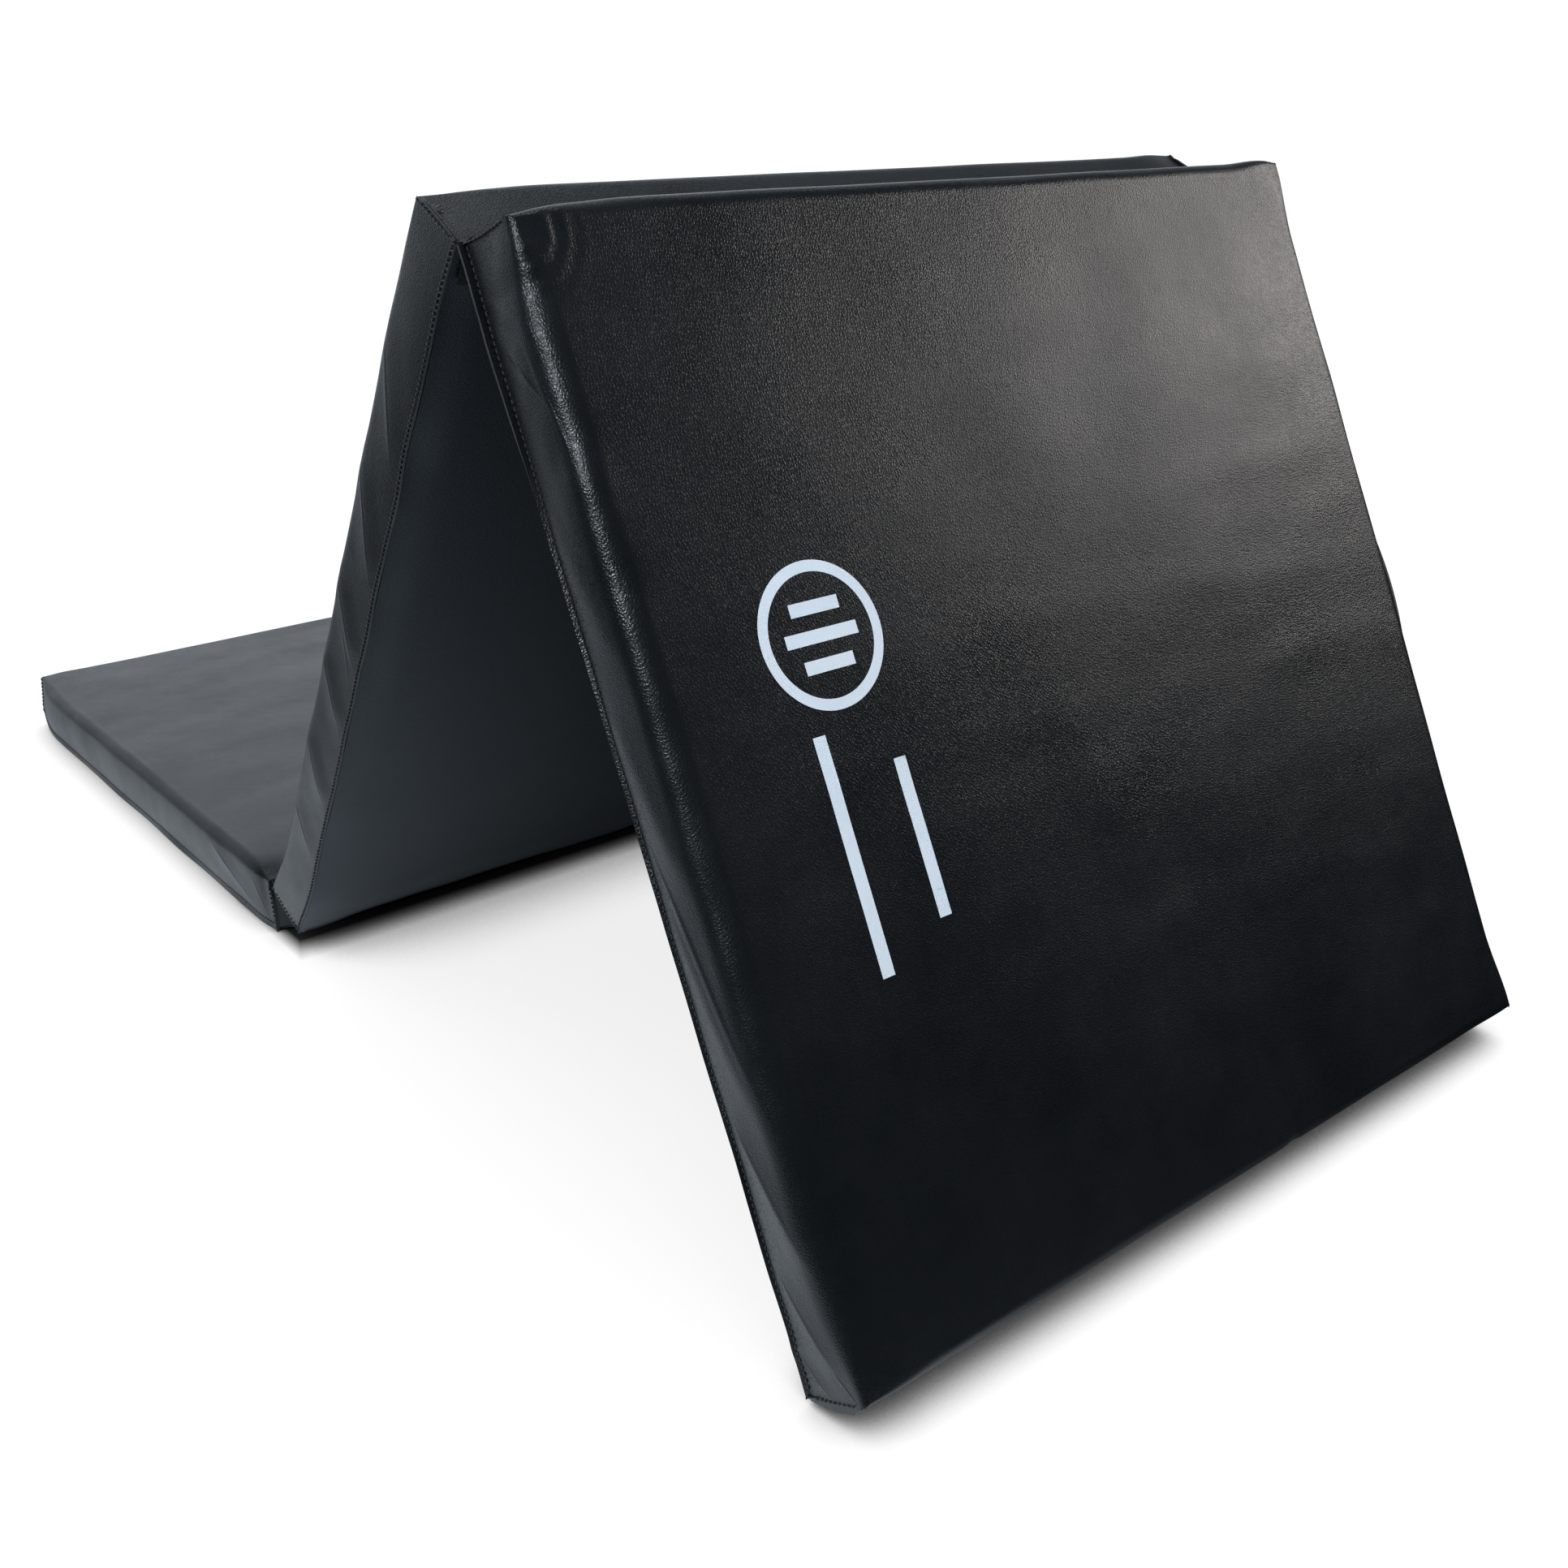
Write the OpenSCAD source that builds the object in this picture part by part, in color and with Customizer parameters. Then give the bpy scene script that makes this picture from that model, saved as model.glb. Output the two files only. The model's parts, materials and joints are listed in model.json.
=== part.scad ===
// Three-panel folding gym mat, standing as an A-frame: the floor panel lies flat, the middle panel
// leans up from it and the front panel leans back down to the floor. Millimetres, +Z up.
// The origin is the centre of the floor panel's underside. +X runs along the mat, +Y across it.

/* [Mat] */
// Length of the mat when it lies open
mat_l = 1800; // [1500:10:2100]
// Width of the mat
mat_w = 600; // [450:10:900]
// Thickness of each panel, cover included
panel_t = 50; // [38:1:60]
// Radius of the soft edges round each panel's upper face
soft_edge_r = 10; // [6:0.5:14]

/* [Standing pose] */
// Slope of the middle panel at rest, in degrees from the floor
middle_rise = 58.9; // [50:0.1:62]

/* [Cover] */
// Thickness of the cover material
sheet_t = 0.8; // [0.6:0.1:1.2]
// How far the sewn edges of the base seam stand out from the panel
lip_w = 4; // [3:0.5:6]
// Radius of the sewing thread
thread_r = 0.25; // [0.15:0.05:0.3]
// Distance of each corner seam's stitches from the panel's end
corner_stitch_inset = 5; // [3:0.5:8]

/* [Hinges] */
// Gap between two panels' ends when the mat lies open
hinge_gap = 3; // [3:0.2:6]
// Width of the hinge strip on each panel
leaf_w = 24; // [16:1:34]

/* [Handles] */
// Width of the handle webbing
web_w = 25; // [18:1:30]
// Thickness of the handle webbing
web_t = 2; // [1.2:0.1:3]
// Length of each sewn end of a handle
tab_l = 45; // [30:1:60]
// Distance between the two sewn ends
handle_span = 170; // [140:5:200]
// How far the free loop stands out from the panel
handle_rise = 18; // [16:1:30]
// Height of the webbing's middle above the panel's underside
handle_z = 18; // [15:1:35]

/* [Print] */
// Outer diameter of the printed ring
ring_d = 78; // [50:1:100]
// Thickness of the printed film
print_t = 0.2; // [0.1:0.05:0.4]

/* [Hidden] */

cover_color = "#1a1d21";
base_color = "#14181d";
foam_color = "#c9cbc6";
thread_color = "#0c0d0f";
webbing_color = "#101214";
print_color = "#dfe8f0";

panel_count = 3;
panel_l = (mat_l - (panel_count - 1) * hinge_gap) / panel_count;
hinge_pitch = panel_l + hinge_gap;
// The hinge axes run half a gap outside the faces that they join
standoff = hinge_gap / 2;
// Gap left between parts that touch
touch = 0.1;
// Room between the foam core and the cover
foam_room = 0.3;
// Height of the cover's lower edge above the panel's underside, clear of the base sheet
wall_z = sheet_t + touch;
leaf_t = sheet_t;
// How far each hinge leaf stops short of the hinge axis
axis_room = 0.3;
// How far the hinge strips stop short of the mat's sides
leaf_side_inset = 5;
leaf_stitch_inset = 4;
seam_end_inset = 3;
round_fn = 48;
thread_fn = 16;

// Height of the rear hinge axis, and the apex axis seen from it, in the middle panel's own frame
rear_axis_z = panel_t + standoff;
apex_drop = panel_t + 2 * standoff;
rear_axis_x = panel_l / 2 + standoff;
apex_x = rear_axis_x + hinge_pitch * cos(middle_rise) + apex_drop * sin(middle_rise);
apex_z = rear_axis_z + hinge_pitch * sin(middle_rise) - apex_drop * cos(middle_rise);
// The front panel's foot is its lip's tip, which rests on the floor
foot_reach = standoff + panel_l + lip_w;
front_drop = atan2(standoff, foot_reach) + asin(apex_z / norm([foot_reach, standoff]));

// Handle loop: an arc whose ends reach the panel's side at the sewn ends
loop_half = handle_span / 2;
loop_r = (loop_half * loop_half + handle_rise * handle_rise) / (2 * handle_rise);
// Height at which the free loop leaves the stiff sewn ends: half the webbing's width can swing there
loop_lift = web_w / 2 * sin(30) + web_t;
loop_cut = sqrt(pow(loop_r, 2) - pow(loop_r - handle_rise + loop_lift, 2));
loop_gap = 0.6;
loop_fn = 180;

// Panel frame: x from 0 to panel_l, y about the middle, z from the underside up to panel_t

module at_floor_panel() translate([-panel_l / 2, 0, 0]) children();

module at_middle_panel()
    translate([rear_axis_x, 0, rear_axis_z])
        rotate([0, -middle_rise, 0])
            translate([standoff, 0, -standoff - panel_t])
                children();

module at_front_panel()
    translate([apex_x, 0, apex_z])
        rotate([0, front_drop, 0])
            translate([standoff, 0, standoff])
                children();

module soft_profile(w, h, r) {
    translate([-w / 2, 0]) square([w, h - r]);
    translate([-w / 2 + r, 0]) square([w - 2 * r, h]);
    for (side = [-1, 1])
        translate([side * (w / 2 - r), h - r]) circle(r, $fn = round_fn);
}

// A box with round upper edges and square upright corners, standing on z = 0
module soft_box(l, w, h, r) {
    intersection() {
        translate([l / 2, 0, 0]) rotate([90, 0, 0])
            linear_extrude(w, center = true) soft_profile(l, h, r);
        rotate([90, 0, 90]) linear_extrude(l) soft_profile(w, h, r);
    }
}

module inset_box(inset, z_low) {
    translate([inset, 0, z_low])
        soft_box(panel_l - 2 * inset, mat_w - 2 * inset, panel_t - inset - z_low, soft_edge_r - inset);
}

// The flat ring of sewn edges round the base; a lip runs along an end only where no hinge is
module lip_plate(z_low, lip_at_start, lip_at_end) {
    start = lip_at_start ? lip_w : 0;
    end = lip_at_end ? lip_w : 0;
    translate([-start, -mat_w / 2 - lip_w, z_low])
        cube([panel_l + start + end, mat_w + 2 * lip_w, sheet_t]);
}

module foam_core() color(foam_color) inset_box(sheet_t + foam_room, sheet_t + foam_room);

module top_cover(lip_at_start, lip_at_end) {
    color(cover_color) difference() {
        union() {
            translate([0, 0, wall_z]) soft_box(panel_l, mat_w, panel_t - wall_z, soft_edge_r);
            lip_plate(wall_z, lip_at_start, lip_at_end);
        }
        inset_box(sheet_t, 0);
    }
}

module base_sheet(lip_at_start, lip_at_end)
    color(base_color) lip_plate(0, lip_at_start, lip_at_end);

// A straight run of thread along x, y or z
module thread_x(length) rotate([0, 90, 0]) cylinder(length, thread_r, thread_r, $fn = thread_fn);
module thread_y(length)
    rotate([90, 0, 0]) cylinder(length, thread_r, thread_r, center = true, $fn = thread_fn);
module thread_z(length) cylinder(length, thread_r, thread_r, $fn = thread_fn);

module seam_stitching(stitch_start, stitch_end) {
    thread_z_mid = wall_z + sheet_t + touch + thread_r;
    run_w = mat_w - 2 * seam_end_inset;
    color(thread_color) {
        for (side = [-1, 1])
            translate([seam_end_inset, side * (mat_w + lip_w) / 2, thread_z_mid])
                thread_x(panel_l - 2 * seam_end_inset);
        if (stitch_start) translate([-lip_w / 2, 0, thread_z_mid]) thread_y(run_w);
        if (stitch_end) translate([panel_l + lip_w / 2, 0, thread_z_mid]) thread_y(run_w);
    }
}

module corner_stitching() {
    z_low = wall_z + sheet_t + 2 * (touch + thread_r);
    color(thread_color)
        for (side = [-1, 1], x = [corner_stitch_inset, panel_l - corner_stitch_inset])
            translate([x, side * (mat_w / 2 + touch + thread_r), z_low + touch])
                thread_z(panel_t - soft_edge_r - z_low);
}

// Rear hinge leaf, upright on a panel's end face; face_x is that face and outward points off it
module end_leaf(face_x, outward) {
    color(cover_color)
        translate([face_x + outward * (touch + leaf_t / 2), 0, panel_t + standoff - axis_room - leaf_w / 2])
            cube([leaf_t, mat_w - 2 * leaf_side_inset, leaf_w], center = true);
}

module end_leaf_stitching(face_x, outward) {
    color(thread_color)
        translate([face_x + outward * (leaf_t + 2 * touch + thread_r / 2), 0,
                   panel_t + standoff - axis_room - leaf_w + leaf_stitch_inset])
            rotate([90, 0, 0])
                cylinder(mat_w - 4 * leaf_side_inset, thread_r / 2, thread_r / 2, center = true, $fn = thread_fn);
}

// Apex hinge leaf, flat against a panel's underside; it runs from edge_x towards inward
module base_leaf(edge_x, inward) {
    reach = standoff - axis_room;
    color(cover_color)
        translate([edge_x + inward * (leaf_w / 2 - reach), 0, -touch - leaf_t / 2])
            cube([leaf_w, mat_w - 2 * leaf_side_inset, leaf_t], center = true);
}

module base_leaf_stitching(edge_x, inward) {
    color(thread_color)
        translate([edge_x + inward * (leaf_w - standoff - leaf_stitch_inset), 0,
                   -leaf_t - 2 * touch - thread_r / 2])
            rotate([90, 0, 0])
                cylinder(mat_w - 4 * leaf_side_inset, thread_r / 2, thread_r / 2, center = true, $fn = thread_fn);
}

// Handle frame: x along the panel from the handle's middle, y out from its side, z about the webbing's middle
module at_handle() translate([panel_l / 2, mat_w / 2 + touch, handle_z]) children();

module webbing_arc() {
    translate([0, handle_rise - loop_r, 0])
        linear_extrude(web_w, center = true) difference() {
            circle(loop_r + web_t, $fn = loop_fn);
            circle(loop_r, $fn = loop_fn);
        }
}

module handle_sewn_ends() {
    far = loop_half + tab_l;
    color(webbing_color) intersection() {
        union() {
            webbing_arc();
            for (side = [-1, 1])
                translate([side * (loop_half + tab_l / 2), web_t / 2, 0])
                    cube([tab_l, web_t, web_w], center = true);
        }
        for (side = [-1, 1])
            translate([side * (loop_cut + far) / 2, loop_lift, 0])
                cube([far - loop_cut, 2 * loop_lift, web_w], center = true);
    }
}

module handle_loop() {
    half = loop_cut - loop_gap;
    color(webbing_color) intersection() {
        webbing_arc();
        translate([-half, 0, -web_w / 2]) cube([2 * half, 2 * handle_rise, web_w]);
    }
}

// A sewn square with a cross in it, on each sewn end
module handle_stitching() {
    box_l = tab_l * 0.7;
    box_w = web_w * 0.7;
    diagonal = norm([box_l, box_w]);
    slope = atan2(box_w, box_l);
    color(thread_color)
        for (side = [-1, 1])
            translate([side * (loop_half + tab_l / 2), web_t + touch + thread_r, 0]) {
                for (edge = [-1, 1]) {
                    translate([-box_l / 2, 0, edge * box_w / 2]) thread_x(box_l);
                    translate([edge * box_l / 2, 0, -box_w / 2]) thread_z(box_w);
                    rotate([0, edge * slope, 0]) translate([-diagonal / 2, 0, 0]) thread_x(diagonal);
                }
            }
}

// Plain printed figure: a ring with three bars in it, and two stripes running on down the panel
module printed_mark() {
    ring_w = 6;
    bar_w = 7;
    bar_pitch = 15;
    ring_at = [233, 106 - mat_w / 2];
    stripe_w = 8;
    long_stripe = [282, 82 - mat_w / 2];
    long_stripe_l = 126;
    short_stripe = [304, 128 - mat_w / 2];
    short_stripe_l = 86;
    color(print_color) translate([0, 0, panel_t + touch]) linear_extrude(print_t) {
        translate(ring_at) {
            difference() {
                circle(ring_d / 2, $fn = 96);
                circle(ring_d / 2 - ring_w, $fn = 96);
            }
            for (row = [-1, 0, 1])
                translate([row * bar_pitch, 0])
                    square([bar_w, ring_d * 0.6 - abs(row) * bar_pitch], center = true);
        }
        translate(long_stripe) square([long_stripe_l, stripe_w], center = false);
        translate(short_stripe) square([short_stripe_l, stripe_w], center = false);
    }
}

at_floor_panel() foam_core();  // floor_panel_foam_core
at_floor_panel() top_cover(true, false);  // floor_panel_top_cover
at_floor_panel() base_sheet(true, false);  // floor_panel_base_sheet
at_floor_panel() seam_stitching(true, false);  // floor_panel_seam_stitching
at_floor_panel() corner_stitching();  // floor_panel_corner_stitching

at_middle_panel() foam_core();  // middle_panel_foam_core
at_middle_panel() top_cover(false, false);  // middle_panel_top_cover
at_middle_panel() base_sheet(false, false);  // middle_panel_base_sheet
at_middle_panel() seam_stitching(false, false);  // middle_panel_seam_stitching
at_middle_panel() corner_stitching();  // middle_panel_corner_stitching

at_front_panel() foam_core();  // front_panel_foam_core
at_front_panel() top_cover(false, true);  // front_panel_top_cover
at_front_panel() base_sheet(false, true);  // front_panel_base_sheet
at_front_panel() seam_stitching(false, true);  // front_panel_seam_stitching
at_front_panel() corner_stitching();  // front_panel_corner_stitching

at_floor_panel() end_leaf(panel_l, 1);  // rear_hinge_floor_leaf
at_middle_panel() end_leaf(0, -1);  // rear_hinge_middle_leaf
at_floor_panel() end_leaf_stitching(panel_l, 1);  // rear_hinge_floor_stitching
at_middle_panel() end_leaf_stitching(0, -1);  // rear_hinge_middle_stitching

at_middle_panel() base_leaf(panel_l, -1);  // apex_hinge_middle_leaf
at_front_panel() base_leaf(0, 1);  // apex_hinge_front_leaf
at_middle_panel() base_leaf_stitching(panel_l, -1);  // apex_hinge_middle_stitching
at_front_panel() base_leaf_stitching(0, 1);  // apex_hinge_front_stitching

at_floor_panel() at_handle() handle_sewn_ends();  // floor_handle_sewn_ends
at_floor_panel() at_handle() handle_loop();  // floor_handle_loop
at_floor_panel() at_handle() handle_stitching();  // floor_handle_stitching
at_front_panel() at_handle() handle_sewn_ends();  // front_handle_sewn_ends
at_front_panel() at_handle() handle_loop();  // front_handle_loop
at_front_panel() at_handle() handle_stitching();  // front_handle_stitching

at_front_panel() printed_mark();  // front_panel_print
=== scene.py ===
"""Looks of the folding gym mat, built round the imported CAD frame. Metres, same frame as the CAD."""
import json
import math

import bpy
import numpy as np
from mathutils import Matrix, Vector


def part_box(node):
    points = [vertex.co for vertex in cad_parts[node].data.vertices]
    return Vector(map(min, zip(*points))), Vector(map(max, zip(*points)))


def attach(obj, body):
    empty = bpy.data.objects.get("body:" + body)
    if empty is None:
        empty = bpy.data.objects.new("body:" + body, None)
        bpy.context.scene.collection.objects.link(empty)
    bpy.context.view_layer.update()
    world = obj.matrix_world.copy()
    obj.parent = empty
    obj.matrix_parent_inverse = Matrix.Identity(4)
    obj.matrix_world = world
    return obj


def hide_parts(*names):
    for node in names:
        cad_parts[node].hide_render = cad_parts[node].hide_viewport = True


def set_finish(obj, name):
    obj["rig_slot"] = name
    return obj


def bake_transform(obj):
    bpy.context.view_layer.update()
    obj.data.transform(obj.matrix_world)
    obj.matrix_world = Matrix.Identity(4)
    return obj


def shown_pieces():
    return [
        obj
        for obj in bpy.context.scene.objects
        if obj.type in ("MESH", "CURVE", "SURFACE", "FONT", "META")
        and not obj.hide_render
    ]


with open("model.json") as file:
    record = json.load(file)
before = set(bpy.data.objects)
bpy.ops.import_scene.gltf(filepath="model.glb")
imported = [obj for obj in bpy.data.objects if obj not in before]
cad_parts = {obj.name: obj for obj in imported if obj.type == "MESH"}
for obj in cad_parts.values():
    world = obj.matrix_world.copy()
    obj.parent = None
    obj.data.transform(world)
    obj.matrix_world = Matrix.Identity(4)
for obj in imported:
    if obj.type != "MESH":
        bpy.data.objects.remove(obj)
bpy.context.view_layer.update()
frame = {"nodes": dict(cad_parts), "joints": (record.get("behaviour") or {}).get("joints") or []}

MM = 0.001

# ---- dimensions, all read from the frame

JOINTS = {joint["name"]: joint for joint in frame["joints"]}
REAR_AXIS = Vector(JOINTS["rear_fold"]["pos_m"])
APEX_AXIS = Vector(JOINTS["apex_fold"]["pos_m"])
RISE = math.radians(-JOINTS["rear_fold"]["range_deg"][0])
DROP = math.radians(-JOINTS["apex_fold"]["range_deg"][0]) - RISE

COVER_LOW, COVER_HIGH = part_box("floor_panel_top_cover")
LENGTH = 2 * COVER_HIGH.x
THICK = COVER_HIGH.z
STANDOFF = REAR_AXIS.z - THICK
CAD_LIP = -COVER_LOW.x - LENGTH / 2
SIDE = COVER_HIGH.y - CAD_LIP
WIDTH = 2 * SIDE

PANEL_FRAMES = {
    "floor_panel": Matrix.Translation((-LENGTH / 2, 0, 0)),
    "middle_panel": Matrix.Translation(REAR_AXIS) @ Matrix.Rotation(-RISE, 4, "Y")
    @ Matrix.Translation((STANDOFF, 0, -STANDOFF - THICK)),
    "front_panel": Matrix.Translation(APEX_AXIS) @ Matrix.Rotation(DROP, 4, "Y")
    @ Matrix.Translation((STANDOFF, 0, STANDOFF)),
}

# Sizes of the sewn cover that only the looks need
SHEET = 1.1 * MM
LAYER_GAP = 0.15 * MM
FLANGE_GAP = 0.5 * MM
GRID_STEP = 3.3 * MM
ARC_STEPS = 8
STRIP_ROWS = 16
EASE_LENGTH = 55 * MM
STITCH_PITCH = 3.7 * MM
STITCH_LENGTH = 2.7 * MM
STITCH_RADIUS = 0.48 * MM
SHARP_ANGLE = math.radians(40)
# The base sheet rises from its seam over this distance in from the edge
BASE_EASE = 26 * MM
# The front panel's lip is turned outwards and open up to this distance from the apex
TURN_OUT = 85 * MM
# Lips narrower than this aren't stitched
NARROW_LIP = 1 * MM
FOAM_INSET = 2.2 * MM
# Height of each layer of the foam slab, and how far its sides draw in, in mm
FOAM_LAYERS = ((6, 6), (9, 2), (14, 1), (38, 1), (43, 4), (45.5, 9))


# ---- small maths

def smooth(t):
    t = np.clip(t, 0.0, 1.0)
    return t * t * (3 - 2 * t)


def bell(distance, width):
    """1 at no distance, fading out over about twice the width."""
    return np.exp(-(distance / width) ** 2)


def waves(a, b, scale, seed, count=14):
    """Smooth noise over two coordinates, about -1 to 1, with features about scale across."""
    rng = np.random.default_rng(seed)
    total = np.zeros_like(a)
    for _ in range(count):
        turn, phase = rng.uniform(0, 2 * math.pi, 2)
        wave = 2 * math.pi / (scale * rng.uniform(0.8, 2.2))
        total += np.sin(wave * (a * math.cos(turn) + b * math.sin(turn)) + phase)
    return total / math.sqrt(count / 2) / 1.6


def from_line(along, across, start, end):
    """Distance from a line between two places in mm, and a taper that falls off towards its ends."""
    start, end = np.array(start) * MM, np.array(end) * MM
    line = end - start
    t = ((along - start[0]) * line[0] + (across - start[1]) * line[1]) / (line @ line)
    near = np.clip(t, 0, 1)
    off = np.hypot(along - start[0] - near * line[0], across - start[1] - near * line[1])
    return off, smooth(np.minimum(near, 1 - near) * 3.5)


def ridge(along, across, start, end, width, height, crest=1.6 * MM):
    """A crease of cloth with a narrow crest."""
    off, taper = from_line(along, across, start, end)
    slope = np.clip(1 - (np.sqrt(off * off + crest * crest) - crest) / (width * MM), 0, 1)
    return height * MM * slope ** 1.3 * (0.3 + 0.7 * taper)


def fold(along, across, start, end, width, height):
    """A round, soft fold of cloth."""
    off, taper = from_line(along, across, start, end)
    return height * MM * bell(off, width * MM) * (0.15 + 0.85 * taper)


# ---- mesh helpers

def link(name, shell, transform=None):
    """Makes an object from (verts, faces, rims); the faces numbered in rims take the second material."""
    verts, faces, rims = shell
    mesh = bpy.data.meshes.new(name)
    mesh.from_pydata([tuple(v) for v in np.asarray(verts)], [], [tuple(f) for f in faces])
    if transform is not None:
        mesh.transform(transform)
    second = np.zeros(len(faces), int)
    second[list(rims)] = 1
    mesh.polygons.foreach_set("material_index", second)
    mesh.polygons.foreach_set("use_smooth", [True] * len(mesh.polygons))
    mesh.set_sharp_from_angle(angle=SHARP_ANGLE)
    obj = bpy.data.objects.new(name, mesh)
    bpy.context.scene.collection.objects.link(obj)
    return obj


def piece(name, shell, body, slot, *stands_for):
    """A shell in a panel's own frame that moves with the panel and stands for some CAD nodes."""
    obj = link(name, shell, PANEL_FRAMES[body])
    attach(obj, body)
    if stands_for:
        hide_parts(*stands_for)
    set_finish(obj, slot)
    return obj


def vertex_normals(verts, faces):
    quads = np.array([f if len(f) == 4 else (*f, f[2]) for f in faces])
    p = verts[quads]
    normal = np.cross(p[:, 2] - p[:, 0], p[:, 3] - p[:, 1])
    total = np.zeros_like(verts)
    for corner in range(4):
        np.add.at(total, quads[:, corner], normal)
    length = np.linalg.norm(total, axis=1, keepdims=True)
    return total / np.maximum(length, 1e-12)


def thicken(verts, faces, thickness):
    """Turns an open sheet into a closed shell by adding an inner side and a rim."""
    verts = np.asarray(verts, float)
    inner = verts - vertex_normals(verts, faces) * thickness
    count = len(verts)
    edges = {}
    for face in faces:
        for a, b in zip(face, (*face[1:], face[0])):
            edges[(a, b)] = edges.get((a, b), 0) + 1
    rim = [(b, a, a + count, b + count) for a, b in edges if (b, a) not in edges]
    back = [tuple(i + count for i in reversed(face)) for face in faces]
    first = 2 * len(faces)
    return np.vstack([verts, inner]), [*map(tuple, faces), *back, *rim], range(first, first + len(rim))


def grid_faces(rows, cols, first=0, wrap=False):
    """Quads over a grid of vertices that are numbered row by row from first."""
    faces = []
    for r in range(rows - 1):
        for c in range(cols if wrap else cols - 1):
            a, b = first + r * cols + c, first + r * cols + (c + 1) % cols
            faces.append((a, a + cols, b + cols, b))
    return faces


def flipped(faces):
    return [face[::-1] for face in faces]


def border_cells(nx, ny):
    """The cells round a grid's border, anticlockwise from the first corner."""
    cells = [(i, 0) for i in range(nx)] + [(nx - 1, j) for j in range(1, ny)]
    return cells + [(i, ny - 1) for i in range(nx - 2, -1, -1)] + [(0, j) for j in range(ny - 2, 0, -1)]


def band(upper, lower):
    """Faces between two closed rings of vertex numbers."""
    size = len(upper)
    return [(upper[k], lower[k], lower[(k + 1) % size], upper[(k + 1) % size]) for k in range(size)]


def add_rings(verts, faces, upper, rings, inside_out=False):
    """Adds rings of vertices, and bands of faces that join each to the one before."""
    for ring in rings:
        lower = len(verts) + np.arange(len(ring))
        verts = np.vstack([verts, ring])
        faces += band(lower, upper) if inside_out else band(upper, lower)
        upper = lower
    return verts


def tube(points, radius, sides=6):
    """Closed tube along a short path, with pinched ends."""
    points = np.asarray(points, float)
    verts = []
    for i, p in enumerate(points):
        ahead = points[min(i + 1, len(points) - 1)] - points[max(i - 1, 0)]
        ahead /= np.linalg.norm(ahead)
        side = np.cross(ahead, (0.31, 0.52, 0.79))
        side /= np.linalg.norm(side)
        up = np.cross(ahead, side)
        r = radius * (0.55 if i in (0, len(points) - 1) else 1.0)
        turn = np.arange(sides) * 2 * math.pi / sides
        verts.extend(p + r * (np.outer(np.cos(turn), side) + np.outer(np.sin(turn), up)))
    faces = grid_faces(len(points), sides, wrap=True)
    last = (len(points) - 1) * sides
    faces += [tuple(range(sides)), tuple(last + i for i in reversed(range(sides)))]
    return np.array(verts), faces, ()


def join(parts):
    verts, faces, rims, first = [], [], [], 0
    for part_verts, part_faces, part_rims in parts:
        rims += [len(faces) + i for i in part_rims]
        verts.append(part_verts)
        faces += [tuple(i + first for i in face) for face in part_faces]
        first += len(part_verts)
    return np.vstack(verts), faces, rims


def stitch_run(path, lift, outward, pitch=STITCH_PITCH, length=STITCH_LENGTH, radius=STITCH_RADIUS):
    """Thread stitches along a path of points; outward holds each point's surface normal."""
    path, outward = np.asarray(path, float), np.asarray(outward, float)
    step = np.linalg.norm(np.diff(path, axis=0), axis=1)
    at = np.concatenate([[0], np.cumsum(step)])
    parts = []
    for k in range(int((at[-1] - pitch) / pitch)):
        s0 = pitch * (k + 0.5)
        samples = s0 + length * np.array([0, 0.25, 0.75, 1.0])
        p = np.stack([np.interp(samples, at, path[:, i]) for i in range(3)], 1)
        n = np.stack([np.interp(samples, at, outward[:, i]) for i in range(3)], 1)
        height = lift * np.array([-0.9, 0.8, 0.8, -0.9])
        parts.append(tube(p + n * height[:, None], radius))
    return join(parts)


# ---- the padded panels

def side_nodes(length, low_radius, high_radius):
    """Node places along one side of a panel's face, the soft edge's drop there, and its lean."""
    arc = np.linspace(math.pi / 2, 0, ARC_STEPS + 1)
    count = round((length - low_radius - high_radius) / GRID_STEP)
    flat = np.linspace(low_radius, length - high_radius, count + 1)[1:-1]
    place = np.concatenate([low_radius * (1 - np.sin(arc)), flat,
                            length - high_radius * (1 - np.sin(arc[::-1]))])
    level = np.zeros_like(flat)
    drop = np.concatenate([low_radius * (1 - np.cos(arc)), level,
                           high_radius * (1 - np.cos(arc[::-1]))])
    lean = np.concatenate([-np.sin(arc), level, np.sin(arc[::-1])])
    return place, drop, lean


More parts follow.
